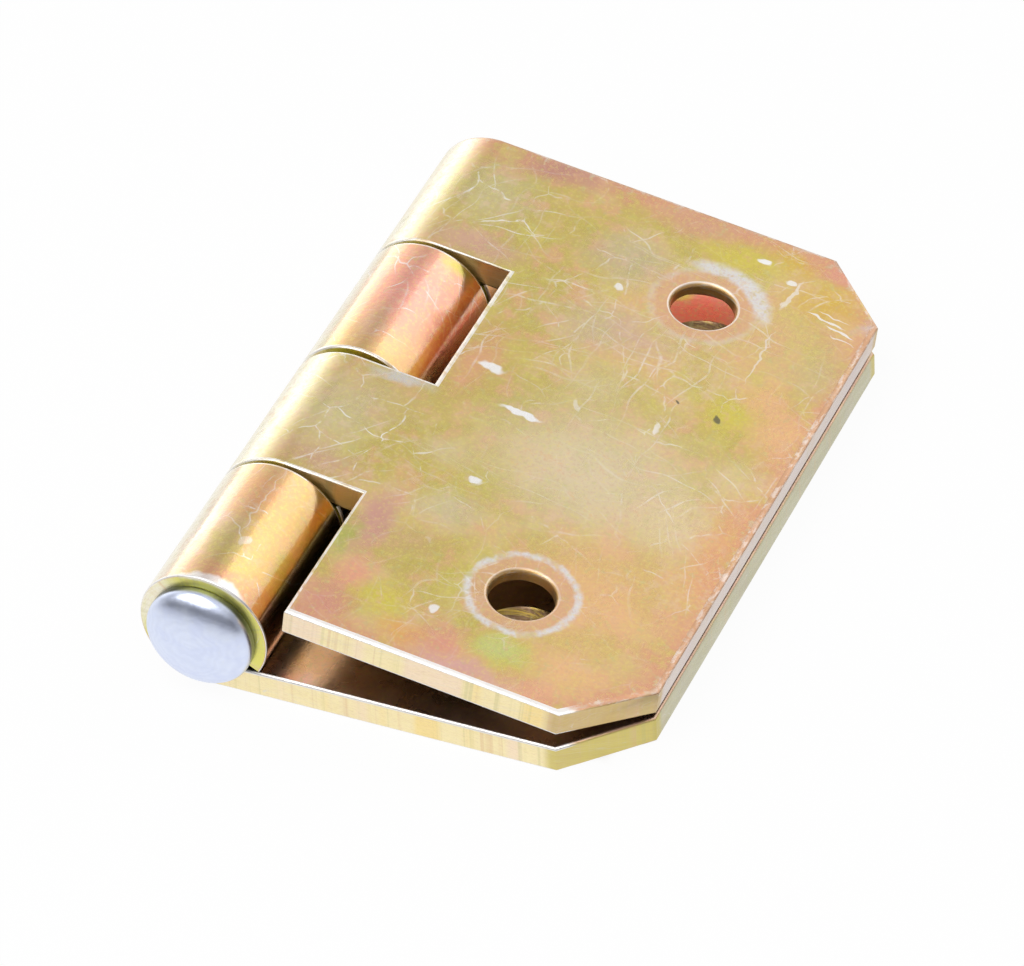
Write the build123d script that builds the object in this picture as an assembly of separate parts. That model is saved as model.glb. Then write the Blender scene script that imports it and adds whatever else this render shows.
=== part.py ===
"""Box hinge: two stamped steel leaves with rolled knuckles on one riveted pin, lying closed.

All sizes are in millimetres.  +Z is up and the pin lies along Y, its formed head at -Y.
The origin is midway between the lower leaf's two screw holes, on the face that is screwed down.
"""

import math
import os

from build123d import *

os.makedirs("parts", exist_ok=True)

# Leaf blank
LEAF_LENGTH = 50.0      # along the pin
LEAF_REACH = 30.0       # from the pin's axis to the free edge
SHEET = 2.0             # thickness of the steel sheet
CORNER_CUT = 5.0        # 45 degree cut at each free corner
HOLE_DIAMETER = 4.5
HOLE_SPACING = 32.0     # between the two holes, along the pin
HOLE_EDGE = 11.4        # from the hole centres to the free edge
HOLE_LAND = 0.9         # straight part of each hole, from the outer face down
SINK_ANGLE = 90.0       # whole angle of the countersink on the inner face, where the screw heads lie

# Knuckles
PIN_DIAMETER = 5.0
PIN_CLEARANCE = 0.08    # radial, between the pin and the rolled bore
KNUCKLES = 4            # along the whole hinge, half of them on each leaf
KNUCKLE_GAP = 0.4       # between neighbouring knuckles
NOTCH_CLEARANCE = 0.9   # from a knuckle's outside to the notch it turns in
SEAM_GAP = 0.12         # between the end of the roll and the sheet it comes back to

# Edges left by the punch
PUNCH_ROLL = 0.25       # bevel where the punch rolls the outer face over its edges
PUNCH_BREAK = 0.15      # bevel on the inner face's edges and in the bores
HOLE_ROLL = 0.25        # bevel of each hole's rim on the outer face
NOTCH_CORNER = 0.3      # corner radius in the notches

# Pin ends
HEAD_DIAMETER = 7.6
HEAD_HEIGHT = 2.0
HEAD_DOME = 0.35        # rise of the head's face above its rim
TAIL_DIAMETER = 6.2
TAIL_HEIGHT = 0.9
TAIL_DOME = 0.45

# How the pieces lie
FREE_EDGE_GAP = 0.5     # between the closed leaves at their free edges
SIDE_PLAY = 0.1         # the upper leaf sits this much nearer the pin's head

# Sizes that follow from those above
BORE_RADIUS = PIN_DIAMETER / 2 + PIN_CLEARANCE
KNUCKLE_RADIUS = BORE_RADIUS + SHEET
NOTCH_REACH = KNUCKLE_RADIUS + NOTCH_CLEARANCE
HOLE_REACH = LEAF_REACH - HOLE_EDGE
KNUCKLE_PITCH = LEAF_LENGTH / KNUCKLES


def closed_angle():
    """Angle in degrees that the upper leaf leans down past parallel when the hinge is closed."""
    lean = math.hypot(LEAF_REACH, BORE_RADIUS)
    return math.degrees(
        math.asin((BORE_RADIUS - FREE_EDGE_GAP) / lean) + math.atan2(BORE_RADIUS, LEAF_REACH)
    )


def around_axis(radius, angle):
    """Point of the leaf's section at a radius and an angle in degrees round the pin's axis."""
    turn = math.radians(angle)
    return (radius * math.cos(turn), radius * math.sin(turn))


def leaf_section():
    """Section across the pin: the flat sheet, rolled from its underside round to its own inner face."""
    roll_end = -math.degrees(math.asin((BORE_RADIUS - SEAM_GAP) / KNUCKLE_RADIUS))
    half_way = (roll_end + 270) / 2
    outer_tangent = (0, -KNUCKLE_RADIUS)
    inner_tangent = (0, -BORE_RADIUS)
    outer_end = around_axis(KNUCKLE_RADIUS, roll_end)
    inner_end = around_axis(BORE_RADIUS, roll_end)
    outer_free = (LEAF_REACH, -KNUCKLE_RADIUS)
    inner_free = (LEAF_REACH, -BORE_RADIUS)
    outline = [
        Line(outer_free, outer_tangent),
        ThreePointArc(outer_tangent, around_axis(KNUCKLE_RADIUS, half_way), outer_end),
        Line(outer_end, inner_end),
        ThreePointArc(inner_end, around_axis(BORE_RADIUS, half_way), inner_tangent),
        Line(inner_tangent, inner_free),
        Line(inner_free, outer_free),
    ]
    return make_face(Plane.XZ * Curve(outline))


def knuckle_notch(slot):
    """Block cut away where the other leaf's knuckle turns; slots count from the head end."""
    start = -LEAF_LENGTH / 2 + slot * KNUCKLE_PITCH - KNUCKLE_GAP / 2
    stop = start + KNUCKLE_PITCH + KNUCKLE_GAP
    back = 2 * KNUCKLE_RADIUS
    block = Box(back + NOTCH_REACH, stop - start, 3 * KNUCKLE_RADIUS)
    return Pos((NOTCH_REACH - back) / 2, (start + stop) / 2, 0) * block


def on_skin(edge, radius):
    """True if an edge is a cut edge of the rolled sheet's face that lies at this distance from the axis."""
    lengthwise = abs((edge % 0.5).Y) > 0.99
    for step in (0.1, 0.5, 0.9):
        point = edge @ step
        on_roll = abs(math.hypot(point.X, point.Z) - radius) < 1e-3
        on_flat = point.X > -1e-3 and abs(point.Z + radius) < 1e-3
        if not (on_flat or on_roll) or (lengthwise and on_roll):
            return False
    return True


def is_notch_corner(edge):
    """True for the upright edges in the bottom of a notch, away from the leaf's ends."""
    middle = edge.center()
    return abs(middle.X - NOTCH_REACH) < 1e-3 and abs(middle.Y) < LEAF_LENGTH / 2 - 1e-3


def is_hole_rim(edge):
    """True for the round edges of the screw holes, which lie flat in the sheet's faces."""
    middle = edge.center(CenterOf.BOUNDING_BOX)
    return edge.geom_type == GeomType.CIRCLE and abs(middle.X - HOLE_REACH) < 1e-3


def screw_hole():
    """Tool for one screw hole, upright on the outer face: a straight land, then the countersink."""
    land = min(HOLE_LAND, 0.6 * SHEET)
    above = SHEET
    wide = HOLE_DIAMETER / 2 + (SHEET - land + above) * math.tan(math.radians(SINK_ANGLE / 2))
    outline = [
        (0, -SHEET),
        (HOLE_DIAMETER / 2, -SHEET),
        (HOLE_DIAMETER / 2, land),
        (wide, SHEET + above),
        (0, SHEET + above),
    ]
    return revolve(make_face(Plane.XZ * Polyline(outline, close=True)), Axis.Z)


def hinge_leaf():
    """One leaf about the pin's axis, outer face down, with every second knuckle from the head end."""
    leaf = extrude(leaf_section(), LEAF_LENGTH / 2, both=True)
    for slot in range(1, KNUCKLES, 2):
        leaf -= knuckle_notch(slot)
    leaf = chamfer(leaf.edges().filter_by(Axis.Z).group_by(Axis.X)[-1], CORNER_CUT)
    leaf = fillet([edge for edge in leaf.edges().filter_by(Axis.Z) if is_notch_corner(edge)], NOTCH_CORNER)
    for side in (-1, 1):
        leaf -= Pos(HOLE_REACH, side * HOLE_SPACING / 2, -KNUCKLE_RADIUS) * screw_hole()
    outer_edges = [edge for edge in leaf.edges() if on_skin(edge, KNUCKLE_RADIUS)]
    leaf = chamfer([edge for edge in outer_edges if not is_hole_rim(edge)], min(PUNCH_ROLL, 0.3 * SHEET))
    inner_edges = [edge for edge in leaf.edges() if on_skin(edge, BORE_RADIUS)]
    leaf = chamfer([edge for edge in inner_edges if not is_hole_rim(edge)], min(PUNCH_BREAK, 0.15 * SHEET))
    rims = [edge for edge in leaf.edges() if is_hole_rim(edge) and on_skin(edge, KNUCKLE_RADIUS)]
    return chamfer(rims, min(HOLE_ROLL, 0.3 * SHEET))


def hinge_pin():
    """Pin about the Y axis, its head against the first knuckle and its tail peened over the last."""
    shank = PIN_DIAMETER / 2
    head = HEAD_DIAMETER / 2
    tail = TAIL_DIAMETER / 2
    head_side = HEAD_HEIGHT - HEAD_DOME
    tail_side = TAIL_HEIGHT - TAIL_DOME
    head_base = -LEAF_LENGTH / 2
    tail_base = LEAF_LENGTH / 2
    head_top = head_base - HEAD_HEIGHT
    tail_top = tail_base + TAIL_HEIGHT
    head_rim = (head, head_base - head_side)
    tail_rim = (tail, tail_base + tail_side)
    outline = [
        TangentArc((0, head_top), head_rim, tangent=(1, 0)),
        Line(head_rim, (head, head_base)),
        Line((head, head_base), (shank, head_base)),
        Line((shank, head_base), (shank, tail_base)),
        Line((shank, tail_base), (tail, tail_base)),
        Line((tail, tail_base), tail_rim),
        TangentArc((0, tail_top), tail_rim, tangent=(1, 0)),
        Line((0, tail_top), (0, head_top)),
    ]
    half = make_face(Curve(outline))
    half = fillet(half.vertices().sort_by_distance(head_rim)[0], 0.5 * head_side)
    half = chamfer(half.vertices().sort_by_distance((head, head_base))[0], 0.15 * head_side)
    half = fillet(half.vertices().sort_by_distance(tail_rim)[0], 0.5 * tail_side)
    half = chamfer(half.vertices().sort_by_distance((tail, tail_base))[0], 0.25 * tail_side)
    return revolve(half, Axis.Y)


# Place the pieces in the shared frame
pin_axis = Pos(-HOLE_REACH, 0, KNUCKLE_RADIUS)
turned_over = Pos(0, -SIDE_PLAY, 0) * Rot(0, closed_angle(), 0) * Rot(180, 0, 0)
stamping = hinge_leaf()

lower_leaf = pin_axis * stamping
upper_leaf = pin_axis * turned_over * stamping
pin = pin_axis * hinge_pin()

export_step(lower_leaf, "parts/lower_leaf.step")
export_step(upper_leaf, "parts/upper_leaf.step")
export_step(pin, "parts/hinge_pin.step")
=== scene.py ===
import math

import bmesh
import bpy
from mathutils import Matrix, Vector


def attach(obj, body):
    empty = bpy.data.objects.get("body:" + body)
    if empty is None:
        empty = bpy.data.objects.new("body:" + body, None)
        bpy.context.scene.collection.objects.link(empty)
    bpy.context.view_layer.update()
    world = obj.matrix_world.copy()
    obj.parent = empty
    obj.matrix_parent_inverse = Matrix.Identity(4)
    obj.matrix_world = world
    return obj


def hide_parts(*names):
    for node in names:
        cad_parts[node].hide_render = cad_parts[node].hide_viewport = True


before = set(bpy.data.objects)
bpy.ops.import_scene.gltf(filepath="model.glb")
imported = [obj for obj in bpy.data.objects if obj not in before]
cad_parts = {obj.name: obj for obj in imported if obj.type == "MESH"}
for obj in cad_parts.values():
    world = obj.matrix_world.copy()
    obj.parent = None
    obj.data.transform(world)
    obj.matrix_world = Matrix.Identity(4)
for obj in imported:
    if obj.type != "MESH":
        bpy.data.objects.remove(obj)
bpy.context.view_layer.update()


# Stamped leaves
# Both leaves are the same stamping of 2 mm steel sheet. The blank has two tongues, two screw
# holes and clipped free corners, the tongues are rolled into knuckles, and the finished
# stamping is barrel plated with zinc and dipped in yellow chromate.
leaf_length = 0.050
leaf_reach = 0.030
sheet_thickness = 0.002
bore_radius = 0.00258
knuckle_radius = bore_radius + sheet_thickness
notch_reach = knuckle_radius + 0.0009
corner_cut = 0.005
hole_radius = 0.00225
hole_reach = 0.0186
hole_offset = 0.016
hole_land = 0.0009
sink_radius = hole_radius + sheet_thickness - hole_land
sink_overcut = 0.0005
knuckle_gap = 0.0004
seam_gap = 0.00012
closed_angle = math.radians(8.8764)
side_play = 0.0001
pin_axis = Vector((-hole_reach, 0.0, knuckle_radius))
tongues = (
    (-leaf_length / 2, -leaf_length / 4 - knuckle_gap / 2),
    (knuckle_gap / 2, leaf_length / 4 - knuckle_gap / 2),
)
roll_angle = math.radians(270) + math.asin((bore_radius - seam_gap) / knuckle_radius)
hair = 2e-5
roll_steps = 96
hole_sides = 96


def pick(kind, wanted):
    """Selects only those edges or faces of the open mesh that answer a test."""
    bpy.ops.mesh.select_mode(type={"edges": "EDGE", "faces": "FACE"}[kind])
    bpy.ops.mesh.select_all(action="DESELECT")
    mesh = bpy.context.object.data
    shape = bmesh.from_edit_mesh(mesh)
    for item in getattr(shape, kind):
        item.select_set(wanted(item))
    bmesh.update_edit_mesh(mesh)


def apply_modifier(piece, kind, **settings):
    """Adds a modifier to a piece and applies it."""
    modifier = piece.modifiers.new(kind.lower(), kind)
    for setting, value in settings.items():
        setattr(modifier, setting, value)
    bpy.context.view_layer.objects.active = piece
    bpy.ops.object.modifier_apply(modifier=modifier.name)


def on_the_roll(point):
    """True for a point of the rolled tongues, False for one of the flat."""
    return point.x < 0.0 or point.z > -bore_radius + hair


def depth(point):
    """Depth of a point below the sheet's outer face."""
    if on_the_roll(point):
        return knuckle_radius - math.hypot(point.x, point.z)
    return point.z + knuckle_radius


def by_a_hole(point):
    """True for a point on the rim or wall of a screw hole."""
    return math.hypot(point.x - hole_reach, abs(point.y) - hole_offset) < hole_radius * 1.15


def ends(edge):
    """The two end points of an edge."""
    return [vertex.co for vertex in edge.verts]


cut_edge_angle = 0.9


def rounding(edge):
    """How far the die and the tumbling barrel have rounded an edge, as a share of the most."""
    if len(edge.link_faces) != 2 or edge.calc_face_angle() < cut_edge_angle:
        return 0.0
    points = ends(edge)
    outer = all(abs(depth(point)) < hair for point in points)
    inner = all(abs(depth(point) - sheet_thickness) < hair for point in points)
    if all(by_a_hole(point) for point in points):
        return 0.4 if outer else 0.0
    on_flat = all(point.x > notch_reach - hair for point in points)
    in_notch = all(point.x < notch_reach + hair for point in points)
    across = abs(points[0].y - points[1].y) > 0.99 * (points[0] - points[1]).length
    if inner:
        beside_flat = max(point.x for point in points) > notch_reach + hair
        return 0.3 if on_flat or beside_flat else 0.0
    if not outer or (across and not on_flat):
        return 0.0
    if all(point.y < hair - leaf_length / 2 for point in points):
        return 0.2 if in_notch else 0.5
    return 0.32 if in_notch else 0.62


bpy.ops.object.select_all(action="DESELECT")
bpy.ops.mesh.primitive_plane_add(size=1.0, location=(leaf_reach / 2, 0.0, -knuckle_radius))
lower_leaf = bpy.context.object
lower_leaf.name = "lower_leaf_stamping"
lower_leaf.scale = (leaf_reach, leaf_length, 1.0)
bpy.ops.object.transform_apply(location=True, rotation=True, scale=True)

bpy.ops.object.mode_set(mode="EDIT")
bpy.ops.mesh.select_all(action="SELECT")
bpy.ops.mesh.bisect(plane_co=(notch_reach, 0.0, 0.0), plane_no=(1.0, 0.0, 0.0))
for cut in (tongues[0][1], tongues[1][0], tongues[1][1]):
    bpy.ops.mesh.select_all(action="SELECT")
    bpy.ops.mesh.bisect(plane_co=(0.0, cut, 0.0), plane_no=(0.0, 1.0, 0.0))


def in_a_notch(face):
    """True for a face of the blank that the punch takes out between the tongues."""
    middle = face.calc_center_median()
    return middle.x < notch_reach and not any(low < middle.y < high for low, high in tongues)


pick("faces", in_a_notch)
bpy.ops.mesh.delete(type="FACE")
for side in (-1.0, 1.0):
    bpy.ops.mesh.select_all(action="SELECT")
    bpy.ops.mesh.bisect(
        plane_co=(leaf_reach - corner_cut, side * leaf_length / 2, 0.0),
        plane_no=(1.0, side, 0.0),
        clear_outer=True,
    )
bpy.ops.mesh.select_all(action="SELECT")
bpy.ops.mesh.dissolve_limited(angle_limit=math.radians(1.0))
pick("edges", lambda edge: all(point.x < hair for point in ends(edge)))
bpy.ops.mesh.spin(steps=roll_steps, angle=-roll_angle, center=(0.0, 0.0, 0.0), axis=(0.0, 1.0, 0.0))
bpy.ops.mesh.select_all(action="SELECT")
bpy.ops.mesh.remove_doubles(threshold=hair / 4)
bpy.ops.mesh.normals_make_consistent(inside=False)
bpy.ops.object.mode_set(mode="OBJECT")
flat_face = max(lower_leaf.data.polygons, key=lambda face: face.area)
if flat_face.normal.z > 0.0:
    bpy.ops.object.mode_set(mode="EDIT")
    bpy.ops.mesh.select_all(action="SELECT")
    bpy.ops.mesh.flip_normals()
    bpy.ops.object.mode_set(mode="OBJECT")
apply_modifier(lower_leaf, "SOLIDIFY", thickness=sheet_thickness, offset=-1.0, use_even_offset=True)

for side in (-1.0, 1.0):
    bpy.ops.object.select_all(action="DESELECT")
    bpy.ops.mesh.primitive_cylinder_add(
        vertices=hole_sides,
        radius=hole_radius,
        depth=4 * sheet_thickness,
        location=(hole_reach, side * hole_offset, sheet_thickness / 2 - knuckle_radius),
    )
    punch = bpy.context.object
    apply_modifier(lower_leaf, "BOOLEAN", operation="DIFFERENCE", object=punch, solver="EXACT")
    bpy.data.objects.remove(punch)
    bpy.ops.mesh.primitive_cone_add(
        vertices=hole_sides,
        radius1=hole_radius - sink_overcut,
        radius2=sink_radius + sink_overcut,
        depth=sheet_thickness - hole_land + 2 * sink_overcut,
        location=(hole_reach, side * hole_offset, (hole_land + sheet_thickness) / 2 - knuckle_radius),
    )
    countersink = bpy.context.object
    apply_modifier(lower_leaf, "BOOLEAN", operation="DIFFERENCE", object=countersink, solver="EXACT")
    bpy.data.objects.remove(countersink)

bpy.ops.object.select_all(action="DESELECT")
lower_leaf.select_set(True)
bpy.context.view_layer.objects.active = lower_leaf
bpy.ops.object.mode_set(mode="EDIT")
bpy.ops.mesh.select_all(action="SELECT")
bpy.ops.mesh.remove_doubles(threshold=hair / 4)
shape = bmesh.from_edit_mesh(lower_leaf.data)
weight = shape.edges.layers.float.new("bevel_weight_edge")
for edge in shape.edges:
    edge[weight] = rounding(edge)
bmesh.update_edit_mesh(lower_leaf.data)
bpy.ops.object.mode_set(mode="OBJECT")
lower_leaf.data.materials.append(None)
lower_leaf.data.materials.append(None)
die_roll = 0.0007
apply_modifier(
    lower_leaf,
    "BEVEL",
    limit_method="WEIGHT",
    width=die_roll,
    segments=6,
    profile=0.5,
    use_clamp_overlap=False,
    material=1,
)

# The die draws the face down over a wide, shallow strip along its cuts, and deeper in the holes.
strip_lift = 0.45
hole_drop = 0.5
for vertex in lower_leaf.data.vertices:
    point = vertex.co
    sunk = depth(point)
    if hair < sunk < die_roll + hair:
        lift = -hole_drop * sunk if by_a_hole(point) else strip_lift * sunk
        if on_the_roll(point):
            spread = (knuckle_radius - sunk + lift) / (knuckle_radius - sunk)
            vertex.co = (point.x * spread, point.y, point.z * spread)
        else:
            vertex.co = (point.x, point.y, point.z - lift)

rounded_edge = lower_leaf.data.attributes.new("rounded_edge", "FLOAT", "FACE")
for face in lower_leaf.data.polygons:
    rounded_edge.data[face.index].value = float(face.material_index == 1)
    face.material_index = 0
lower_leaf.data.materials.clear()
bpy.ops.object.shade_smooth()


crisp_angle = 0.7


def is_crisp(edge):
    """True for the edges that keep a corner, such as those of the bores and the countersinks."""
    return len(edge.link_faces) == 2 and edge.calc_face_angle() > crisp_angle


bpy.ops.object.mode_set(mode="EDIT")
pick("edges", is_crisp)
bpy.ops.mesh.mark_sharp()
bpy.ops.object.mode_set(mode="OBJECT")
apply_modifier(lower_leaf, "WEIGHTED_NORMAL", weight=80, keep_sharp=True)

# Each point keeps its place on the flat blank in millimetres, along the sheet, across it and
# down into it, so that the plating's marks follow the metal round the roll.
blank = lower_leaf.data.attributes.new("blank", "FLOAT_VECTOR", "POINT")
for vertex in lower_leaf.data.vertices:
    point = vertex.co
    along = point.x
    if on_the_roll(point):
        turn = (math.radians(270) - math.atan2(point.z, point.x)) % (2 * math.pi)
        along = -knuckle_radius * turn
    blank.data[vertex.index].vector = (1000 * along, 1000 * point.y, 1000 * depth(point))

bpy.ops.object.duplicate()
upper_leaf = bpy.context.object
upper_leaf.name = "upper_leaf_stamping"
turned_over = Matrix.Rotation(closed_angle, 4, "Y") @ Matrix.Rotation(math.pi, 4, "X")
slid = pin_axis - Vector((0.0, side_play, 0.0))
for leaf, place in (
    (lower_leaf, Matrix.Translation(pin_axis)),
    (upper_leaf, Matrix.Translation(slid) @ turned_over),
):
    bpy.ops.object.select_all(action="DESELECT")
    leaf.select_set(True)
    bpy.context.view_layer.objects.active = leaf
    leaf.matrix_world = place
    bpy.ops.object.transform_apply(location=True, rotation=True, scale=True)


def node(tree, kind, inputs=None, **settings):
    """Adds a shader node, sets it and links its inputs."""
    made = tree.nodes.new(kind)
    for setting, value in settings.items():
        setattr(made, setting, value)
    for socket, value in (inputs or {}).items():
        if isinstance(value, bpy.types.NodeSocket):
            tree.links.new(value, made.inputs[socket])
        else:
            made.inputs[socket].default_value = value
    return made


def sums(tree, operation, first, second=0.0, third=0.0):
    """One step of arithmetic on values of the surface."""
    return node(tree, "ShaderNodeMath", {0: first, 1: second, 2: third}, operation=operation).outputs[0]


def cloud(tree, place, scale, detail=2.0, roughness=0.5):
    """Soft uneven clouds, as many to a millimetre as the scale says."""
    inputs = {"Vector": place, "Scale": scale, "Detail": detail, "Roughness": roughness}
    return node(tree, "ShaderNodeTexNoise", inputs, noise_dimensions="2D").outputs["Fac"]


def fade(tree, value, start, end, low=0.0, high=1.0):
    """Goes smoothly from low to high as a value goes from start to end."""
    flipped = start > end
    inputs = {
        "Value": value,
        "From Min": min(start, end),
        "From Max": max(start, end),
        "To Min": high if flipped else low,
        "To Max": low if flipped else high,
    }
    return node(tree, "ShaderNodeMapRange", inputs, interpolation_type="SMOOTHSTEP").outputs["Result"]


def tint(tree, amount, under, over):
    """Lays one colour over another."""
    return node(tree, "ShaderNodeMix", {0: amount, 6: under, 7: over}, data_type="RGBA").outputs[2]


def paint(red, green, blue):
    """A colour with its alpha."""
    return (red, green, blue, 1.0)


outer_face = 0.0
inner_face = 1000 * sheet_thickness
mark_depth = 0.8


def mark(tree, place, centre, size, angle=0.0, soft=0.6, strength=1.0, face=outer_face):
    """An oval mark on one face of the sheet, its strength in the middle and 0 outside."""
    inputs = {
        "Vector": place,
        "Location": (centre[0], centre[1], face),
        "Rotation": (0.0, 0.0, math.radians(angle)),
        "Scale": (size[0], size[1], mark_depth),
    }
    local = node(tree, "ShaderNodeMapping", inputs, vector_type="TEXTURE").outputs["Vector"]
    reach = node(tree, "ShaderNodeVectorMath", {0: local}, operation="LENGTH").outputs["Value"]
    return fade(tree, reach, 1.0, 1.0 - soft, 0.0, strength)


def warped(tree, place, scale, amount):
    """The same places pushed about by a cloud, so that what is drawn on them has ragged lines."""
    push = node(
        tree, "ShaderNodeTexNoise", {"Vector": place, "Scale": scale, "Detail": 1.0}, noise_dimensions="2D"
    ).outputs["Color"]
    middle = (0.5, 0.5, 0.5)
    centred = node(tree, "ShaderNodeVectorMath", {0: push, 1: middle}, operation="SUBTRACT").outputs[0]
    inputs = {0: centred, 1: (amount, amount, 0.0), 2: place}
    return node(tree, "ShaderNodeVectorMath", inputs, operation="MULTIPLY_ADD").outputs[0]


def crackle(tree, place, scale, width):
    """Hair lines along the edges of large wandering cells."""
    cells = node(
        tree,
        "ShaderNodeTexVoronoi",
        {"Vector": place, "Scale": scale},
        feature="DISTANCE_TO_EDGE",
        voronoi_dimensions="2D",
    ).outputs["Distance"]
    return fade(tree, cells, width * scale, 0.0)


def dashes(tree, place, angle, length, spacing, width, share):
    """Straight scratches that all lie one way, of which only a share is deep enough to see."""
    inputs = {
        "Vector": place,
        "Rotation": (0.0, 0.0, math.radians(angle)),
        "Scale": (4.0 * length, spacing, 1.0),
    }
    laid = node(tree, "ShaderNodeMapping", inputs, vector_type="TEXTURE").outputs["Vector"]
    inputs = {"Vector": laid, "Scale": 1.0}
    cells = node(tree, "ShaderNodeTexVoronoi", inputs, voronoi_dimensions="2D").outputs
    lot = node(tree, "ShaderNodeSeparateColor", {0: cells["Color"]}).outputs[0]
    deep = fade(tree, lot, 1.0 - share, 1.0)
    on_line = fade(tree, cells["Distance"], width / spacing, 0.2 * width / spacing)
    return sums(tree, "MULTIPLY", deep, on_line)


def chromate(name, drift, near, painted_highlight_span, cut_walls, stains, scuffs, nicks_and_highlight, specks):
    """Yellow chromate on zinc: a thin film whose colour wanders from olive through gold to rose."""
    finish = bpy.data.materials.new(name)
    finish.use_nodes = True
    tree = finish.node_tree
    skin = tree.nodes["Principled BSDF"]
    here = node(tree, "ShaderNodeAttribute", attribute_name="blank").outputs["Vector"]
    rounded_edge = node(tree, "ShaderNodeAttribute", attribute_name="rounded_edge").outputs["Fac"]
    along, sideways, down = node(tree, "ShaderNodeSeparateXYZ", {0: here}).outputs
    slant = (5.0, 3.0, 0.0)
    inputs = {0: node(tree, "ShaderNodeCombineXYZ", {0: down, 1: down}).outputs[0], 1: slant, 2: here}
    slanted = node(tree, "ShaderNodeVectorMath", inputs, operation="MULTIPLY_ADD").outputs[0]
    place = node(tree, "ShaderNodeVectorMath", {0: slanted, 1: drift}, operation="ADD").outputs[0]
    across = sums(tree, "ABSOLUTE", sideways)

    # The stamping's sizes in millimetres, as the blank's places are.
    sheet = 1000 * sheet_thickness
    end = 500 * leaf_length
    notch = 1000 * notch_reach
    rim = 1000 * hole_radius
    sink = 1000 * sink_radius
    land = 1000 * hole_land
    ring_radius = 3.7

    slow = cloud(tree, place, 0.07, 1.0)
    middling = cloud(tree, place, 0.24, 3.0, 0.6)
    mottle = cloud(tree, place, 0.42, 3.0, 0.6)
    grain = cloud(tree, place, 3.0, 2.0, 0.7)
    dust = cloud(tree, place, 0.9, 3.0, 0.7)
    flecks = cloud(tree, here, 1.1, 3.0, 0.7)

    tone = sums(tree, "MULTIPLY_ADD", middling, 0.45, sums(tree, "MULTIPLY", slow, 0.55))
    film = node(tree, "ShaderNodeValToRGB", {0: fade(tree, tone, 0.34, 0.66)})
    film.color_ramp.elements.remove(film.color_ramp.elements[1])
    film.color_ramp.elements[0].position = 0.0
    film.color_ramp.elements[0].color = paint(0.54, 0.435, 0.12)
    for position, colour in (
        (0.35, paint(0.59, 0.45, 0.15)),
        (0.65, paint(0.645, 0.485, 0.21)),
        (1.0, paint(0.69, 0.465, 0.21)),
    ):
        film.color_ramp.elements.new(position).color = colour
    colour = film.outputs["Color"]

    # The film drains to the edges and dries thicker there, which turns it rose.
    to_free_edge = sums(tree, "SUBTRACT", 1000 * leaf_reach, along)
    to_end = sums(tree, "SUBTRACT", end, across)
    past_cut = sums(tree, "SUBTRACT", to_end, 1000 * corner_cut)
    to_corner = sums(tree, "MULTIPLY", sums(tree, "ADD", to_free_edge, past_cut), math.sqrt(0.5))
    to_edge = sums(tree, "MINIMUM", sums(tree, "MINIMUM", to_free_edge, to_end), to_corner)
    ragged = sums(tree, "MULTIPLY_ADD", middling, 6.0, sums(tree, "SUBTRACT", to_edge, 3.0))
    colour = tint(tree, fade(tree, ragged, 3.2, 0.4, 0.0, 0.95), colour, paint(0.68, 0.34, 0.21))

    # Patches a few millimetres across lean to rose or to leek green.
    colour = tint(tree, fade(tree, mottle, 0.50, 0.70, 0.0, 0.65), colour, paint(0.72, 0.40, 0.24))
    colour = tint(tree, fade(tree, mottle, 0.46, 0.30, 0.0, 0.55), colour, paint(0.60, 0.52, 0.14))

    # The inner faces, which hung close together in the bath, are duller.
    on_inside = fade(tree, down, sheet - 0.10, sheet - 0.01, 0.0, 0.65)
    colour = tint(tree, on_inside, colour, paint(0.62, 0.52, 0.47))

    wandering = warped(tree, warped(tree, here, 0.25, 1.6), 0.8, 1.3)
    for centre, size, strength, stain, *face in stains:
        spot = mark(tree, wandering, centre, size, 0.0, 0.95, strength, *face)
        colour = tint(tree, spot, colour, paint(*stain))

    # Sheared walls are brighter and yellower than the faces.
    wall = sums(tree, "MULTIPLY", fade(tree, down, 0.06, 0.16), fade(tree, down, sheet - 0.03, sheet - 0.14))
    streaks = cloud(tree, here, 0.30, 1.0, 0.5)
    sheared = tint(tree, fade(tree, streaks, 0.28, 0.42), paint(1.0, 0.80, 0.38), paint(1.0, 0.87, 0.53))
    sheared = tint(tree, fade(tree, streaks, 0.52, 0.66), sheared, paint(1.0, 0.82, 0.61))
    sheared = tint(tree, fade(tree, to_free_edge, 0.3, 0.1, 0.0, 0.85), sheared, paint(*cut_walls[0]))
    sheared = tint(tree, fade(tree, to_corner, 0.8, 0.2, 0.0, 0.85), sheared, paint(*cut_walls[1]))
    beside_notch = fade(tree, along, notch + 0.92, notch + 0.32)
    in_notch = sums(tree, "MULTIPLY", beside_notch, fade(tree, across, end - 0.4, end - 0.8))
    sheared = tint(tree, sums(tree, "MULTIPLY", in_notch, 0.75), sheared, paint(0.80, 0.57, 0.26))
    sheared = tint(tree, fade(tree, along, 0.0, -2.0, 0.0, 0.95), sheared, paint(0.77, 0.74, 0.17))
    colour = tint(tree, wall, colour, sheared)

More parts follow.
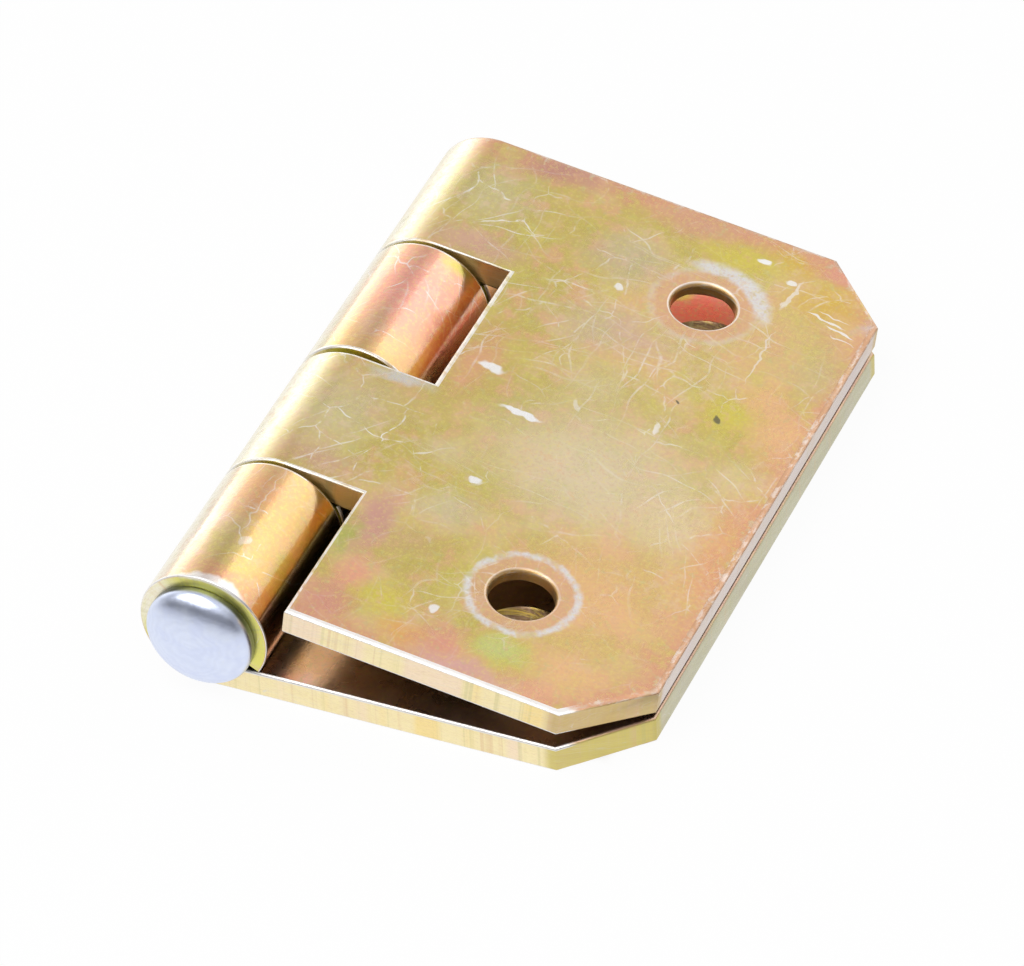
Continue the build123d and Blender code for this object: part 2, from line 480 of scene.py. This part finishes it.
    # The punch has pressed a rosy ring round each hole, which tumbling has scuffed along its edge.
    folded = node(tree, "ShaderNodeCombineXYZ", {0: along, 1: across}).outputs[0]
    inputs = {0: folded, 1: (1000 * hole_reach, 1000 * hole_offset, 0.0)}
    from_hole = node(tree, "ShaderNodeVectorMath", inputs, operation="DISTANCE").outputs["Value"]
    shaky = sums(tree, "MULTIPLY_ADD", dust, 0.6, sums(tree, "SUBTRACT", from_hole, 0.30))
    outside = fade(tree, down, 1.0, 0.3)
    halo = sums(tree, "MULTIPLY", fade(tree, shaky, ring_radius + 0.2, ring_radius - 0.4), outside)
    colour = tint(tree, sums(tree, "MULTIPLY", halo, 0.75), colour, paint(0.69, 0.39, 0.24))
    in_hole = fade(tree, from_hole, rim + 0.25, rim + 0.11)
    colour = tint(tree, sums(tree, "MULTIPLY", in_hole, 0.9), colour, paint(0.70, 0.43, 0.15))
    past_land = fade(tree, down, land - 0.05, land + 0.05)
    sunk = sums(tree, "MULTIPLY", fade(tree, from_hole, sink + 0.07, sink + 0.01), past_land)
    sink_colour_and_shade = tint(tree, fade(tree, dust, 0.46, 0.64), paint(0.22, 0.13, 0.07), paint(0.62, 0.44, 0.09))
    # Painted shade: countersinks towards the sheet's +y end are painted darker, for the deeper shade on the
    # far hole.
    sink_colour_and_shade = tint(tree, fade(tree, sideways, -2.0, 2.0, 0.0, 0.6), sink_colour_and_shade, paint(0.20, 0.12, 0.07))
    colour = tint(tree, sunk, colour, sink_colour_and_shade)
    ring = sums(
        tree,
        "MULTIPLY",
        fade(tree, shaky, ring_radius - 0.45, ring_radius - 0.05),
        fade(tree, shaky, ring_radius + 0.45, ring_radius + 0.05),
    )
    ring = sums(tree, "MULTIPLY", ring, fade(tree, sideways, -2.0, 2.0, 0.3, 1.0))
    ring = sums(tree, "MULTIPLY", ring, fade(tree, cloud(tree, here, 0.8, 2.0, 0.7), 0.30, 0.60, 0.3, 1.0))
    to_far_end = (0.45, -0.89, 0.0)
    inputs = {0: here, 1: to_far_end}
    beyond = node(tree, "ShaderNodeVectorMath", inputs, operation="DOT_PRODUCT").outputs["Value"]
    arc = sums(
        tree,
        "MULTIPLY",
        fade(tree, shaky, ring_radius - 0.6, ring_radius - 0.1),
        fade(tree, shaky, ring_radius + 1.3, ring_radius + 0.5),
    )
    arc = sums(tree, "MULTIPLY", arc, fade(tree, beyond, 24.2, 25.6))
    arc = sums(tree, "MULTIPLY", arc, fade(tree, flecks, 0.28, 0.52, 0.5, 1.0))
    ring = sums(tree, "MAXIMUM", ring, arc)
    ring = sums(tree, "MULTIPLY", ring, outside)
    colour = tint(tree, sums(tree, "MULTIPLY", ring, 0.88), colour, paint(0.69, 0.69, 0.72))

    # The roll's outer face is painted pale over a band, a painted highlight of the bright light it mirrors,
    # and the whole film has a fine grain.
    risen = fade(tree, along, painted_highlight_span[0], painted_highlight_span[1])
    crown = sums(tree, "MULTIPLY", risen, fade(tree, along, painted_highlight_span[3], painted_highlight_span[2]))
    crown = sums(tree, "MULTIPLY", crown, fade(tree, dust, 0.25, 0.6, 0.8, 1.0))
    colour = tint(tree, crown, colour, paint(0.93, 0.89, 0.73))
    colour = tint(tree, fade(tree, grain, 0.50, 0.72, 0.0, 0.30), colour, paint(0.76, 0.64, 0.20))
    colour = tint(tree, fade(tree, grain, 0.48, 0.28, 0.0, 0.28), colour, paint(0.60, 0.37, 0.25))
    colour = tint(tree, fade(tree, flecks, 0.54, 0.74, 0.0, 0.38), colour, paint(0.72, 0.42, 0.21))
    colour = tint(tree, fade(tree, flecks, 0.44, 0.26, 0.0, 0.36), colour, paint(0.55, 0.52, 0.24))

    # Hair lines from tumbling, thickest where the stampings rub on one another.
    shown = fade(tree, cloud(tree, place, 0.15, 1.0), 0.40, 0.64, 0.15, 0.75)
    for centre, size in scuffs:
        shown = sums(tree, "MAXIMUM", shown, mark(tree, wandering, centre, size, soft=0.8))
    curled = warped(tree, place, 0.22, 2.0)
    broken = fade(tree, cloud(tree, place, 0.55, 3.0, 0.6), 0.42, 0.56)
    lines = sums(tree, "MULTIPLY", crackle(tree, warped(tree, curled, 0.7, 0.7), 0.26, 0.095), broken)
    for angle, length, spacing in (
        (8.0, 8.0, 0.55),
        (33.0, 6.0, 0.8),
        (70.0, 5.0, 0.7),
        (95.0, 9.0, 0.6),
        (128.0, 5.0, 0.8),
        (165.0, 7.0, 0.6),
    ):
        lines = sums(tree, "MAXIMUM", lines, dashes(tree, curled, angle, length, spacing, 0.10, 0.62))
    lines = sums(tree, "MULTIPLY", lines, shown)
    lines = sums(tree, "MULTIPLY", lines, fade(tree, dust, 0.32, 0.56, 0.15, 1.0))
    lines = sums(tree, "MULTIPLY", lines, fade(tree, down, sheet - 0.2, sheet - 0.5))
    haze = sums(tree, "MULTIPLY", sums(tree, "MULTIPLY", shown, fade(tree, flecks, 0.46, 0.68)), 0.20)
    colour = tint(tree, haze, colour, paint(0.74, 0.69, 0.60))
    white_lines = sums(tree, "MULTIPLY", lines, fade(tree, along, 13.0, 6.0, 0.58, 0.85))
    colour = tint(tree, white_lines, colour, paint(0.84, 0.82, 0.79))

    # Zinc shows through where the rounded edges have worn against other stampings, and at the near end and
    # along the notches the pale rims are painted highlights.
    outer_rim = sums(tree, "MULTIPLY", rounded_edge, fade(tree, down, sheet / 2 + 0.2, sheet / 2 - 0.2))
    # Painted highlight: at the near end the rounded edges are painted almost white.
    to_head = sums(tree, "MULTIPLY", sideways, near)
    painted_highlight_at_head_end = fade(tree, to_head, end - 1.2, end - 0.6, 0.0, 0.95)
    at_far_end = fade(tree, to_head, 1.2 - end, 0.6 - end)
    far_rims = sums(tree, "MAXIMUM", fade(tree, to_free_edge, 0.9, 0.5), at_far_end)
    far_rims = sums(tree, "MULTIPLY", sums(tree, "MULTIPLY", outer_rim, far_rims), 0.75)
    colour = tint(tree, far_rims, colour, paint(0.54, 0.32, 0.19))
    # Painted highlight: along the notches the rounded edges are painted pale in patches.
    painted_highlight_at_notch = sums(tree, "MULTIPLY", in_notch, fade(tree, dust, 0.32, 0.54, 0.25, 0.8))
    by_chance = sums(tree, "MULTIPLY", outer_rim, fade(tree, dust, 0.47, 0.66, 0.0, 0.4))
    wear_and_highlight = sums(tree, "MAXIMUM", sums(tree, "MAXIMUM", by_chance, painted_highlight_at_notch), painted_highlight_at_head_end)
    round_hole = fade(tree, from_hole, rim + 0.65, rim + 0.35)
    at_holes = sums(tree, "MULTIPLY", round_hole, fade(tree, from_hole, rim + 0.09, rim + 0.19))
    at_holes = sums(tree, "MULTIPLY", at_holes, fade(tree, sideways, -2.0, 2.0, 0.6, 0.25))
    at_holes = sums(tree, "MULTIPLY", at_holes, outside)
    wear_and_highlight = sums(tree, "MAXIMUM", wear_and_highlight, at_holes)
    wear_and_highlight = sums(tree, "MULTIPLY", rounded_edge, wear_and_highlight)
    colour = tint(tree, wear_and_highlight, colour, paint(0.88, 0.86, 0.84))
    frayed = fade(tree, sums(tree, "MULTIPLY_ADD", flecks, 3.0, to_edge), 1.9, 1.2, 0.0, 0.22)
    on_face = fade(tree, down, 0.10, 0.04)
    colour = tint(tree, sums(tree, "MULTIPLY", frayed, on_face), colour, paint(0.74, 0.70, 0.67))

    shaken = warped(tree, here, 1.1, 0.6)
    # Small white marks are laid on the film; on the lower leaf one of them is a painted highlight.
    white = 0.0
    for centre, size, angle, strength in nicks_and_highlight:
        nick = mark(tree, shaken, centre, size, angle, 0.4, strength)
        white = sums(tree, "MAXIMUM", white, nick)
    white = sums(tree, "MULTIPLY", white, fade(tree, down, 0.35, 0.12))
    colour = tint(tree, white, colour, paint(0.88, 0.87, 0.87))
    for centre, size, angle in specks:
        speck = mark(tree, shaken, centre, size, angle, 0.5, 0.8)
        colour = tint(tree, speck, colour, paint(0.10, 0.10, 0.08))

    tree.links.new(colour, skin.inputs["Base Color"])
    skin.inputs["Metallic"].default_value = 1.0
    gloss = fade(tree, middling, 0.3, 0.7, 0.24, 0.34)
    gloss = sums(tree, "MULTIPLY", gloss, fade(tree, along, -3.0, -9.0, 1.0, 0.58))
    gloss = sums(tree, "MULTIPLY_ADD", sums(tree, "MAXIMUM", wall, rounded_edge), 0.16, gloss)
    gloss = sums(tree, "MULTIPLY_ADD", sums(tree, "ADD", lines, ring), 0.12, gloss)
    tree.links.new(gloss, skin.inputs["Roughness"])
    relief = sums(tree, "MULTIPLY_ADD", grain, 0.4, dust)
    bump = node(tree, "ShaderNodeBump", {"Strength": 0.35, "Distance": 0.00003, "Height": relief})
    tree.links.new(bump.outputs["Normal"], skin.inputs["Normal"])
    return finish


rose = (0.72, 0.33, 0.24)
mauve_rose = (0.60, 0.32, 0.27)
salmon = (0.76, 0.39, 0.20)
olive = (0.58, 0.50, 0.12)
leek_green = (0.44, 0.44, 0.12)
verdigris = (0.56, 0.58, 0.21)
sand = (0.71, 0.60, 0.42)
gold = (0.68, 0.49, 0.19)
mauve = (0.55, 0.43, 0.34)
lemon = (0.63, 0.53, 0.10)
grey_zinc = (0.62, 0.61, 0.62)
brick = (0.60, 0.22, 0.14)
blush = (0.82, 0.36, 0.29)
apricot = (0.80, 0.47, 0.24)
khaki = (0.52, 0.455, 0.29)
ochre = (0.65, 0.43, 0.09)
dull_zinc = (0.62, 0.57, 0.43)

upper_stains = (
    ((18.0, 3.0), (12.0, 10.0), 0.8, sand),
    ((22.8, 14.0), (8.5, 9.0), 0.85, apricot),
    ((24.5, 5.0), (4.5, 5.0), 0.75, (0.76, 0.60, 0.38)),
    ((3.0, 2.6), (6.0, 4.5), 0.7, (0.57, 0.43, 0.18)),
    ((13.9, -10.6), (7.0, 3.6), 0.55, mauve),
    ((25.0, -18.0), (5.0, 6.0), 0.5, gold),
    ((11.0, 8.0), (5.0, 5.0), 0.55, olive),
    ((26.0, -20.4), (3.8, 3.0), 1.0, ochre),
    ((22.5, -23.4), (3.2, 2.0), 1.0, ochre),
    ((28.0, -13.6), (2.8, 4.4), 0.9, (0.58, 0.46, 0.21)),
    ((12.0, -18.0), (4.4, 3.8), 0.7, khaki),
    ((15.0, -5.0), (4.0, 3.2), 0.7, (0.65, 0.55, 0.30)),
    ((25.8, -9.4), (3.0, 2.6), 0.9, apricot),
    ((27.0, -1.2), (3.0, 3.0), 0.7, (0.70, 0.54, 0.31)),
    ((19.0, -21.8), (5.0, 2.3), 0.95, lemon),
    ((24.4, -6.8), (3.2, 2.8), 0.9, lemon),
    ((27.8, -6.5), (3.0, 4.6), 0.9, apricot),
    ((28.4, 6.0), (2.8, 9.0), 0.75, salmon),
    ((7.0, -3.6), (2.6, 6.0), 0.7, (0.72, 0.35, 0.22)),
    ((2.0, -14.2), (5.5, 2.2), 0.95, (0.63, 0.38, 0.28)),
    ((5.0, -24.2), (5.0, 2.2), 0.95, (0.54, 0.28, 0.22)),
    ((15.5, -23.8), (4.5, 2.4), 0.9, (0.65, 0.36, 0.23)),
    ((26.0, -24.0), (4.0, 2.2), 0.8, rose),
    ((1.5, 10.8), (5.0, 2.6), 0.85, (0.61, 0.37, 0.25)),
    ((11.0, 11.0), (3.4, 2.6), 0.75, (0.60, 0.53, 0.33)),
    ((0.8, 6.0), (5.0, 6.0), 0.42, dull_zinc),
    ((1.4, -19.6), (4.6, 5.4), 0.40, dull_zinc),
    ((10.0, 15.0), (2.8, 2.8), 0.75, (0.58, 0.41, 0.18)),
    ((7.2, 14.2), (2.4, 5.2), 0.9, mauve_rose),
    ((6.0, 16.8), (1.4, 3.0), 0.95, leek_green),
    ((8.0, 19.8), (2.4, 3.0), 0.9, (0.78, 0.36, 0.25)),
    ((7.0, 22.8), (3.2, 2.8), 1.0, (0.66, 0.31, 0.23)),
    ((14.0, 17.0), (2.6, 3.4), 0.6, olive),
    ((10.8, 21.0), (3.2, 2.6), 1.0, lemon),
    ((15.4, 22.6), (3.4, 2.4), 0.95, rose),
    ((12.8, 23.0), (2.2, 1.8), 0.85, (0.75, 0.40, 0.13)),
    ((17.4, 24.3), (4.8, 1.6), 0.95, (0.69, 0.39, 0.35)),
    ((21.0, 24.3), (2.6, 1.4), 0.8, (0.72, 0.46, 0.33)),
    ((19.6, 21.6), (3.9, 2.7), 1.0, lemon),
    ((19.3, 21.5), (2.9, 2.0), 1.0, verdigris),
    ((24.0, 21.2), (3.8, 3.2), 0.75, apricot),
    ((23.0, 23.7), (3.0, 1.8), 0.85, (0.79, 0.42, 0.26)),
    ((9.2, 5.8), (3.0, 2.6), 0.6, (0.67, 0.55, 0.34)),
    ((3.2, 0.8), (3.4, 0.8), 0.8, grey_zinc),
    ((29.6, -19.5), (1.0, 2.0), 0.6, grey_zinc),
)
upper_scuffs = (
    ((2.0, -18.5), (8.0, 6.0)),
    ((3.0, -8.0), (5.0, 4.0)),
    ((3.5, 6.5), (9.0, 6.0)),
    ((11.0, -13.5), (4.5, 3.0)),
    ((17.6, -8.5), (2.0, 5.5)),
    ((21.0, -3.0), (4.0, 3.0)),
)
upper_nicks = (
    ((20.63, -22.34), (0.62, 0.36), 5.0, 0.95),
    ((23.07, -21.19), (0.55, 0.26), 10.0, 0.75),
    ((12.75, -14.86), (0.45, 0.40), 30.0, 0.75),
    ((8.29, -3.19), (1.15, 0.50), 5.0, 0.9),
    ((11.75, 0.07), (1.9, 0.34), 3.0, 0.95),
    ((14.7, -2.47), (0.6, 0.25), 60.0, 0.35),
    ((20.41, -3.07), (0.7, 0.24), 70.0, 0.55),
    ((11.65, 7.59), (0.48, 0.42), 0.0, 0.9),
    ((13.93, 20.05), (0.36, 0.52), 15.0, 0.8),
    ((26.6, -18.75), (1.8, 0.12), 9.0, 0.75),
    ((27.9, -18.1), (1.4, 0.10), 12.0, 0.75),
    ((26.9, -19.3), (1.5, 0.08), 10.0, 0.6),
    ((28.4, -17.4), (1.0, 0.08), 10.0, 0.6),
    ((23.6, -20.0), (0.22, 2.0), 6.0, 0.5),
    ((23.9, -13.1), (0.1, 3.4), -2.0, 0.4),
)
upper_specks = (
    ((23.6, -5.97), (0.20, 0.55), -20.0),
    ((20.63, -6.1), (0.25, 0.14), 20.0),
)
lower_stains = (
    ((-15.6, 7.6), (8.5, 11.0), 1.0, blush),
    ((-16.9, 2.2), (2.4, 2.4), 0.7, (0.82, 0.46, 0.24)),
    ((-14.0, 3.4), (1.4, 3.4), 0.5, (0.56, 0.42, 0.24)),
    ((-19.3, 6.5), (1.6, 8.0), 1.0, brick),
    ((-17.4, 12.0), (1.5, 1.5), 1.0, olive),
    ((-12.2, -19.0), (3.6, 9.0), 0.95, (0.71, 0.49, 0.42)),
    ((-15.4, -16.0), (3.6, 5.0), 0.9, salmon),
    ((-17.0, -20.0), (2.1, 7.0), 0.95, (0.78, 0.47, 0.20)),
    ((-14.2, -21.5), (1.5, 4.0), 0.85, (0.55, 0.44, 0.17)),
    ((-18.8, -15.0), (1.2, 4.0), 0.7, salmon),
    ((16.6, 18.6), (12.0, 10.0), 0.7, (0.80, 0.42, 0.31), inner_face),
    ((17.0, 20.2), (6.4, 5.6), 1.0, (0.98, 0.22, 0.16), inner_face),
    ((15.0, 21.8), (1.3, 1.1), 0.9, (0.80, 0.62, 0.12), inner_face),
    ((4.2, -23.4), (2.6, 4.0), 0.85, (0.42, 0.29, 0.25), inner_face),
    ((8.0, -22.6), (5.0, 5.4), 1.0, (1.0, 0.56, 0.30), inner_face),
    ((6.7, -24.7), (1.5, 1.0), 0.9, (0.95, 0.52, 0.42), inner_face),
)
lower_scuffs = (
    ((-15.0, 6.0), (2.2, 7.0)),
    ((-15.2, -18.0), (1.4, 6.0)),
)
lower_nicks_and_highlight = (
    ((-15.6, -20.4), (0.35, 0.6), 20.0, 0.3),
    ((-15.1, -16.5), (0.08, 4.0), 2.0, 0.3),
    # Painted highlight: this last mark is no nick but a white patch on the top of the near knuckle, just
    # behind its end.
    ((-15.4, -25.0), (2.8, 0.9), 0.0, 0.7),
)

upper_leaf.data.materials.append(
    chromate(
        "yellow_chromate_upper",
        (3.0, 40.0, 0.0),
        1.0,
        (-0.6, -3.8, -8.0, -12.0),
        ((0.68, 0.61, 0.64), (0.60, 0.43, 0.18)),
        upper_stains,
        upper_scuffs,
        upper_nicks,
        upper_specks,
    )
)
lower_leaf.data.materials.append(
    chromate(
        "yellow_chromate_lower",
        (61.0, 12.0, 0.0),
        -1.0,
        (-5.0, -8.0, -10.4, -13.2),
        ((0.50, 0.51, 0.39), (0.64, 0.54, 0.14)),
        lower_stains,
        lower_scuffs,
        lower_nicks_and_highlight,
        (),
    )
)
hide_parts("lower_leaf")
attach(lower_leaf, "fixed_leaf")
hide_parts("upper_leaf")
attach(upper_leaf, "swinging_leaf")


# Hinge pin
# A bright drawn steel wire with an upset pillow head at the near end. It is pushed through all
# four knuckles and its far end is peened over, so that it can't come out.
pin_radius = 0.0025
head_radius = 0.0038
head_height = 0.0020
head_waist = 0.0005
tail_radius = 0.0031
tail_height = 0.0009
tail_waist = 0.0003
head_fullness = 0.94
tail_fullness = 0.80
turned_steps = 64


def swelling(radius, height, foot, fullness):
    """Quarter outline of a pressed crown, from its middle to its widest, as radius and height."""
    steps = 14
    turns = [math.radians(90) * step / steps for step in range(steps + 1)]
    return [
        (radius * math.sin(turn) ** fullness, foot + (height - foot) * math.cos(turn) ** fullness)
        for turn in turns
    ]


def undercut(radius, foot):
    """Outline of a crown's rim from its widest back to its seat, as radius and height."""
    turns = [math.radians(30 * step) for step in (1, 2, 3)]
    return [
        (radius - foot / 6 * (1 - math.cos(turn)), foot * (1 - math.sin(turn))) for turn in turns
    ]


head = swelling(head_radius, head_height, head_waist, head_fullness) + undercut(head_radius, head_waist)
tail = swelling(tail_radius, tail_height, tail_waist, tail_fullness) + undercut(tail_radius, tail_waist)
half_outline = [(radius, -leaf_length / 2 - height) for radius, height in head]
half_outline += [(pin_radius, -leaf_length / 2), (pin_radius, leaf_length / 2)]
half_outline += [(radius, leaf_length / 2 + height) for radius, height in reversed(tail)]

bpy.ops.object.select_all(action="DESELECT")
bpy.ops.mesh.primitive_plane_add(size=0.001, location=pin_axis)
pin = bpy.context.object
pin.name = "riveted_pin"
bpy.ops.object.transform_apply(location=True, rotation=True, scale=True)
bpy.ops.object.mode_set(mode="EDIT")
bpy.ops.mesh.select_mode(type="VERT")
bpy.ops.mesh.select_all(action="SELECT")
bpy.ops.mesh.merge(type="CENTER")
bpy.ops.mesh.select_all(action="SELECT")
start = Vector((0.0, half_outline[0][1], 0.0))
bpy.ops.transform.translate(value=start)
for (radius, reach), (next_radius, next_reach) in zip(half_outline, half_outline[1:]):
    step = (next_radius - radius, next_reach - reach, 0.0)
    bpy.ops.mesh.extrude_region_move(TRANSFORM_OT_translate={"value": step})
bpy.ops.mesh.select_all(action="SELECT")
bpy.ops.mesh.spin(steps=turned_steps, angle=2 * math.pi, center=pin_axis, axis=(0.0, 1.0, 0.0))
bpy.ops.mesh.select_all(action="SELECT")
bpy.ops.mesh.remove_doubles(threshold=hair / 4)
bpy.ops.mesh.normals_make_consistent(inside=False)
bpy.ops.object.mode_set(mode="OBJECT")
bpy.ops.object.shade_smooth()

bright_steel = bpy.data.materials.new("bright_drawn_steel")
bright_steel.use_nodes = True
steel = bright_steel.node_tree
steel_skin = steel.nodes["Principled BSDF"]
on_pin = node(steel, "ShaderNodeTexCoord").outputs["Object"]
from_axis = node(
    steel, "ShaderNodeMapping", {"Vector": on_pin, "Location": -1000 * pin_axis, "Scale": (1000.0,) * 3}
).outputs["Vector"]
pin_axes = node(steel, "ShaderNodeSeparateXYZ", {0: from_axis}).outputs
in_plane = node(steel, "ShaderNodeCombineXYZ", {0: pin_axes[0], 1: pin_axes[2]}).outputs[0]
pin_clouds = cloud(steel, in_plane, 0.5, 3.0, 0.6)
pin_grain = cloud(steel, in_plane, 2.6, 3.0, 0.7)
swirls = node(
    steel,
    "ShaderNodeTexWave",
    {"Vector": warped(steel, in_plane, 0.6, 1.6), "Scale": 0.55, "Distortion": 1.5, "Detail": 2.0},
    wave_type="RINGS",
    rings_direction="SPHERICAL",
).outputs["Fac"]
steel_colour = tint(
    steel, fade(steel, pin_clouds, 0.3, 0.7), paint(0.70, 0.76, 0.96), paint(0.78, 0.84, 1.0)
)
steel_colour = tint(steel, sums(steel, "MULTIPLY", swirls, 0.10), steel_colour, paint(0.50, 0.54, 0.70))
steel_colour = tint(
    steel, fade(steel, pin_grain, 0.55, 0.75, 0.0, 0.35), steel_colour, paint(0.78, 0.82, 0.92)
)
# Painted shade: the side of the head just above its seat is darkened almost to black, for the shadow in the
# gap under its rim.
head_seat = -500 * leaf_length
below_rim = fade(steel, pin_axes[1], head_seat - 0.75, head_seat - 0.40, 0.0, 0.8)
painted_shade_under_head = sums(steel, "MULTIPLY", below_rim, fade(steel, pin_axes[1], head_seat + 0.2, head_seat))
steel_colour = tint(steel, painted_shade_under_head, steel_colour, paint(0.12, 0.14, 0.14))
steel.links.new(steel_colour, steel_skin.inputs["Base Color"])
steel_skin.inputs["Metallic"].default_value = 1.0
steel.links.new(fade(steel, pin_clouds, 0.3, 0.7, 0.29, 0.37), steel_skin.inputs["Roughness"])
pin_relief = sums(steel, "MULTIPLY_ADD", pin_grain, 0.5, pin_clouds)
pin_relief = sums(steel, "MULTIPLY_ADD", swirls, 0.12, pin_relief)
pin_bump = node(steel, "ShaderNodeBump", {"Strength": 0.35, "Distance": 0.00004, "Height": pin_relief})
steel.links.new(pin_bump.outputs["Normal"], steel_skin.inputs["Normal"])
pin.data.materials.append(bright_steel)
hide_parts("hinge_pin")
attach(pin, "fixed_leaf")


# Studio
# A white paper floor in a white room, which the metal mirrors darker low in front where the
# camera stands. A large soft lamp hangs above the front, and two weaker ones stand behind, a low
# one to the left and a higher one to the right.
bpy.ops.object.select_all(action="DESELECT")
bpy.ops.mesh.primitive_plane_add(size=6.0, location=(0.0, 0.0, -hair))
floor = bpy.context.object
floor.name = "white_floor"
floor_white = bpy.data.materials.new("white_floor")
floor_white.use_nodes = True
paper = floor_white.node_tree
paper.nodes.remove(paper.nodes["Principled BSDF"])
seen = node(paper, "ShaderNodeLightPath").outputs
direct = sums(paper, "MAXIMUM", seen["Is Camera Ray"], seen["Is Glossy Ray"])
direct = sums(paper, "MAXIMUM", direct, seen["Is Transmission Ray"])

# Under the hinge the paper stays matt and in shade, so that it doesn't shine up through the holes.
shade_middle = -0.0059
shade_half_width = 0.0120
shade_half_length = 0.0200
shade_border = 0.0035
on_floor = node(paper, "ShaderNodeTexCoord").outputs["Object"]
floor_axes = node(paper, "ShaderNodeSeparateXYZ", {0: on_floor}).outputs
from_middle = sums(paper, "ABSOLUTE", sums(paper, "SUBTRACT", floor_axes[0], shade_middle))
past_side = fade(paper, from_middle, shade_half_width, shade_half_width + shade_border)
from_centre = sums(paper, "ABSOLUTE", floor_axes[1])
past_end = fade(paper, from_centre, shade_half_length, shade_half_length + shade_border)
direct = sums(paper, "MULTIPLY", direct, sums(paper, "MAXIMUM", past_side, past_end))
matt = node(paper, "ShaderNodeBsdfDiffuse", {"Color": paint(0.85, 0.85, 0.85)}).outputs[0]
dim_front = fade(paper, floor_axes[1], -0.034, -0.110, 0.0, 0.5)
brightness = sums(paper, "SUBTRACT", 1.0, sums(paper, "MULTIPLY", dim_front, seen["Is Glossy Ray"]))
glow = node(paper, "ShaderNodeEmission", {"Color": paint(1.0, 1.0, 1.0), "Strength": brightness}).outputs[0]
mixed = node(paper, "ShaderNodeMixShader", {0: sums(paper, "MULTIPLY", direct, 0.95), 1: matt, 2: glow})
paper.links.new(mixed.outputs[0], paper.nodes["Material Output"].inputs["Surface"])
floor.data.materials.append(floor_white)

room = bpy.data.worlds.new("white_room")
room.use_nodes = True
bpy.context.scene.world = room
walls = room.node_tree
looked_at = node(walls, "ShaderNodeLightPath").outputs
towards = node(walls, "ShaderNodeTexCoord").outputs["Generated"]
way = node(walls, "ShaderNodeSeparateXYZ", {0: towards}).outputs
in_front = fade(walls, way[1], -0.15, -0.70)
low = fade(walls, way[2], 0.70, 0.34)
gloom = sums(walls, "MULTIPLY", in_front, low)

# What the metal mirrors: brightest behind and above, a glow low behind to the left, and the gloom.
up_behind = (0.06, 0.70, 0.71)
left_behind = (-0.72, 0.69, 0.04)
inputs = {0: towards, 1: up_behind}
behind = node(walls, "ShaderNodeVectorMath", inputs, operation="DOT_PRODUCT").outputs["Value"]
inputs = {0: towards, 1: left_behind}
to_left = node(walls, "ShaderNodeVectorMath", inputs, operation="DOT_PRODUCT").outputs["Value"]
mirrored = fade(walls, behind, 0.80, 1.0, 0.68, 1.0)
mirrored = sums(walls, "MULTIPLY", mirrored, fade(walls, way[0], -0.26, 0.02, 0.80, 1.12))
mirrored = sums(walls, "MULTIPLY", mirrored, fade(walls, way[0], 0.58, 0.80, 1.0, 0.5))
mirrored = sums(walls, "ADD", mirrored, fade(walls, to_left, 0.64, 1.0, 0.0, 0.95))
mirrored = sums(walls, "MULTIPLY", mirrored, fade(walls, gloom, 0.0, 1.0, 1.0, 0.3))
clear = sums(walls, "MAXIMUM", looked_at["Is Camera Ray"], looked_at["Is Transmission Ray"])
level = sums(walls, "MULTIPLY_ADD", looked_at["Is Glossy Ray"], sums(walls, "SUBTRACT", mirrored, 0.5), 0.5)
level = sums(walls, "MAXIMUM", level, clear)
walls.links.new(level, walls.nodes["Background"].inputs["Strength"])
walls.nodes["Background"].inputs["Color"].default_value = paint(1.0, 1.0, 1.0)


def soft_lamp(name, place, width, brightness):
    """A square soft box that looks at the hinge, its power worked out from its brightness."""
    lamp = bpy.data.lights.new(name, "AREA")
    lamp.shape = "SQUARE"
    lamp.size = width
    lamp.energy = brightness * math.pi * width * width
    stand = bpy.data.objects.new(name, lamp)
    bpy.context.scene.collection.objects.link(stand)
    stand.location = place
    stand.rotation_euler = Vector(place).to_track_quat("Z", "Y").to_euler()


soft_lamp("left_lamp", (-0.52, 0.50, 0.05), 0.45, 0.5)
soft_lamp("front_lamp", (-0.20, -0.32, 0.62), 0.72, 2.4)
soft_lamp("right_lamp", (0.38, 0.62, 0.47), 0.65, 0.70)


# Camera
# It has a long lens and stands half a metre off, in front, to the right and above, where the
# photograph was taken from.
camera_data = bpy.data.cameras.new("camera")
camera_data.sensor_fit = "HORIZONTAL"
camera_data.sensor_width = 36.0
camera_data.lens = 261.58
camera_data.clip_start = 0.01
camera_data.clip_end = 20.0
camera = bpy.data.objects.new("camera", camera_data)
bpy.context.scene.collection.objects.link(camera)
azimuth = math.radians(24.8348)
height = math.radians(40.1949)
lean = math.radians(-2.9913)
aim = Vector((-0.0056616, -0.0035298, 0.004))
distance = 0.49978
back = Vector(
    (math.sin(azimuth) * math.cos(height), -math.cos(azimuth) * math.cos(height), math.sin(height))
)
level_right = Vector((0.0, 0.0, 1.0)).cross(back).normalized()
level_up = back.cross(level_right)
right = math.cos(lean) * level_right + math.sin(lean) * level_up
up = math.cos(lean) * level_up - math.sin(lean) * level_right
camera_place = Matrix((right, up, back)).transposed().to_4x4()
camera_place.translation = aim + distance * back
camera.matrix_world = camera_place
bpy.context.scene.camera = camera

bpy.context.scene.view_settings.view_transform = "Standard"
